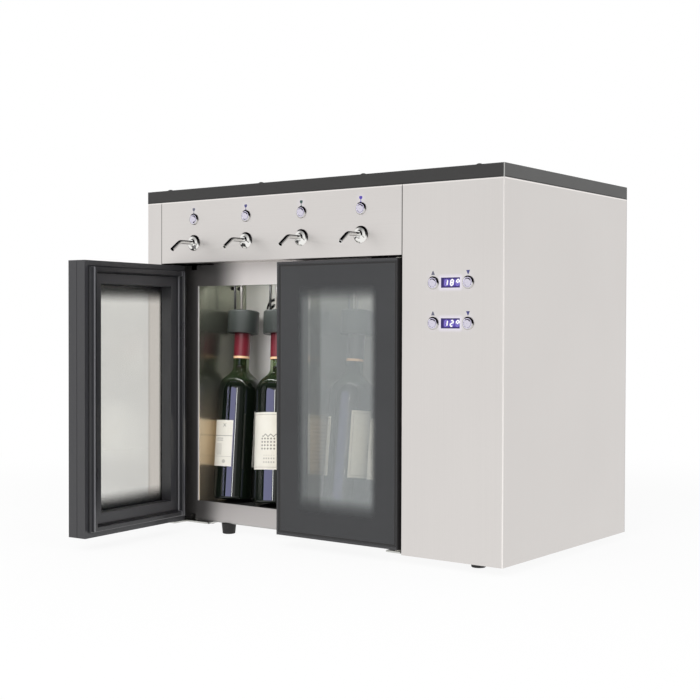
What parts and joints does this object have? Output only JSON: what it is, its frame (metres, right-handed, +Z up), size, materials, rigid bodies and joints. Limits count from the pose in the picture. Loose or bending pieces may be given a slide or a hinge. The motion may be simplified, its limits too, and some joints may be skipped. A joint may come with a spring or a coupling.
{
  "type": "wine preservation dispenser",
  "caption": "Counter-top cooled wine cabinet with two hinged glass doors, bottles under gas behind them, angled taps and push buttons above, and a control tower beside.",
  "frame": {"origin": "on the standing surface, under the middle of the casing", "axes": "+X along the front towards the control tower, +Y from the front towards the back, +Z up"},
  "size_m": [0.706, 0.6319, 0.5857],
  "materials": {
    "cabinet_steel": "satin brushed stainless sheet",
    "back_steel": "plain dull steel sheet",
    "cover_paint": "fine-textured dark grey paint",
    "screw_steel": "blackened screws",
    "trim_steel": "brushed stainless strip",
    "liner_steel": "polished stainless liner",
    "foam": "rigid foam",
    "foot_rubber": "moulded rubber",
    "hinge_steel": "plated steel",
    "tap_chrome": "polished",
    "button_chrome": "satin chrome",
    "button_light": "lit blue ring",
    "display_lens": "dark blue window",
    "circuit_board": "printed board",
    "green_glass": "dark green bottle glass",
    "red_wine": "wine",
    "capsule_foil": "red foil",
    "label_paper": "cream paper",
    "head_plastic": "dark slate plastic",
    "stopper_rubber": "food-grade rubber",
    "tube_dark": "black tube",
    "tube_grey": "grey tube",
    "fan_plastic": "black moulding",
    "sink_aluminium": "extruded",
    "valve_brass": "turned brass",
    "supply_steel": "perforated case",
    "socket_plastic": "black moulding",
    "door_black": "black powder coat",
    "smoked_glass": "smoked glass with a printed border",
    "clear_glass": "clear glass",
    "spacer_aluminium": "dark spacer bar",
    "seal_rubber": "magnetic door seal",
    "bush_nylon": "black nylon"
  },
  "bodies": {
    "cabinet": {"side_panel_left": "cabinet_steel", "side_panel_right": "cabinet_steel", "back_panel": "back_steel", "base_pan": "back_steel", "top_cover": "cover_paint", "fascia_panel": "cabinet_steel", "screws": "screw_steel", "cavity_trims": "trim_steel", "liner_side_walls": "liner_steel", "liner_back_wall": "liner_steel", "liner_floor": "liner_steel", "liner_ceiling": "liner_steel", "divider": "liner_steel", "insulation": "foam", "feet": "foot_rubber", "hinge_plates": "hinge_steel", "hinge_pins": "hinge_steel", "spouts": "tap_chrome", "tap_flanges": "tap_chrome", "button_housings": "button_chrome", "button_light_rings": "button_light", "display_lenses": "display_lens", "control_board": "circuit_board", "bottle_glass": "green_glass", "bottle_wine": "red_wine", "bottle_capsules": "capsule_foil", "bottle_labels": "label_paper", "dispensing_heads": "head_plastic", "head_stoppers": "stopper_rubber", "wine_tubes": "tube_dark", "gas_tubes": "tube_grey", "fan_frames": "fan_plastic", "cooling_blocks": "sink_aluminium", "solenoid_valves": "valve_brass", "gas_fittings": "valve_brass", "power_supply": "supply_steel", "power_inlet": "socket_plastic"},
    "left_door": {"door_frame_left": "door_black", "outer_glass_left": "smoked_glass", "inner_glass_left": "clear_glass", "glass_spacer_left": "spacer_aluminium", "door_seal_left": "seal_rubber", "door_bushes_left": "bush_nylon"},
    "right_door": {"door_frame_right": "door_black", "outer_glass_right": "smoked_glass", "inner_glass_right": "clear_glass", "glass_spacer_right": "spacer_aluminium", "door_seal_right": "seal_rubber", "door_bushes_right": "bush_nylon"},
    "tap_button_1": {"tap_button_1": "button_chrome"},
    "tap_button_2": {"tap_button_2": "button_chrome"},
    "tap_button_3": {"tap_button_3": "button_chrome"},
    "tap_button_4": {"tap_button_4": "button_chrome"},
    "upper_raise_button": {"upper_raise_button": "button_chrome"},
    "upper_lower_button": {"upper_lower_button": "button_chrome"},
    "lower_raise_button": {"lower_raise_button": "button_chrome"},
    "lower_lower_button": {"lower_lower_button": "button_chrome"},
    "circulation_fan_left": {"circulation_fan_left": "fan_plastic"},
    "circulation_fan_right": {"circulation_fan_right": "fan_plastic"},
    "exhaust_fan": {"exhaust_fan": "fan_plastic"}
  },
  "joints": [
    {"name": "left_door_hinge", "type": "hinge", "parent": "cabinet", "child": "left_door", "pos_m": [-0.3092, -0.1915, 0.0135], "axis": [0, 0, 1], "range_deg": [-8, 85.85]},
    {"name": "right_door_hinge", "type": "hinge", "parent": "cabinet", "child": "right_door", "pos_m": [0.1692, -0.1915, 0.0135], "axis": [0, 0, 1], "range_deg": [0, 93.85]},
    {"name": "tap_button_1_push", "type": "slide", "parent": "cabinet", "child": "tap_button_1", "axis": [0, 1, 0], "range_m": [0, 0.0015], "stiffness_N_per_m": 800, "springref_m": -0.0006},
    {"name": "tap_button_2_push", "type": "slide", "parent": "cabinet", "child": "tap_button_2", "axis": [0, 1, 0], "range_m": [0, 0.0015], "stiffness_N_per_m": 800, "springref_m": -0.0006},
    {"name": "tap_button_3_push", "type": "slide", "parent": "cabinet", "child": "tap_button_3", "axis": [0, 1, 0], "range_m": [0, 0.0015], "stiffness_N_per_m": 800, "springref_m": -0.0006},
    {"name": "tap_button_4_push", "type": "slide", "parent": "cabinet", "child": "tap_button_4", "axis": [0, 1, 0], "range_m": [0, 0.0015], "stiffness_N_per_m": 800, "springref_m": -0.0006},
    {"name": "upper_raise_button_push", "type": "slide", "parent": "cabinet", "child": "upper_raise_button", "axis": [0, 1, 0], "range_m": [0, 0.0015], "stiffness_N_per_m": 800, "springref_m": -0.0006},
    {"name": "upper_lower_button_push", "type": "slide", "parent": "cabinet", "child": "upper_lower_button", "axis": [0, 1, 0], "range_m": [0, 0.0015], "stiffness_N_per_m": 800, "springref_m": -0.0006},
    {"name": "lower_raise_button_push", "type": "slide", "parent": "cabinet", "child": "lower_raise_button", "axis": [0, 1, 0], "range_m": [0, 0.0015], "stiffness_N_per_m": 800, "springref_m": -0.0006},
    {"name": "lower_lower_button_push", "type": "slide", "parent": "cabinet", "child": "lower_lower_button", "axis": [0, 1, 0], "range_m": [0, 0.0015], "stiffness_N_per_m": 800, "springref_m": -0.0006},
    {"name": "circulation_fan_left_spin", "type": "hinge", "parent": "cabinet", "child": "circulation_fan_left", "pos_m": [-0.207, -0.0255, 0.3815], "axis": [0, 1, 0], "continuous": true},
    {"name": "circulation_fan_right_spin", "type": "hinge", "parent": "cabinet", "child": "circulation_fan_right", "pos_m": [0.0326, -0.0255, 0.3815], "axis": [0, 1, 0], "continuous": true},
    {"name": "exhaust_fan_spin", "type": "hinge", "parent": "cabinet", "child": "exhaust_fan", "pos_m": [-0.097, 0.1875, 0.3135], "axis": [0, 1, 0], "continuous": true}
  ]
}
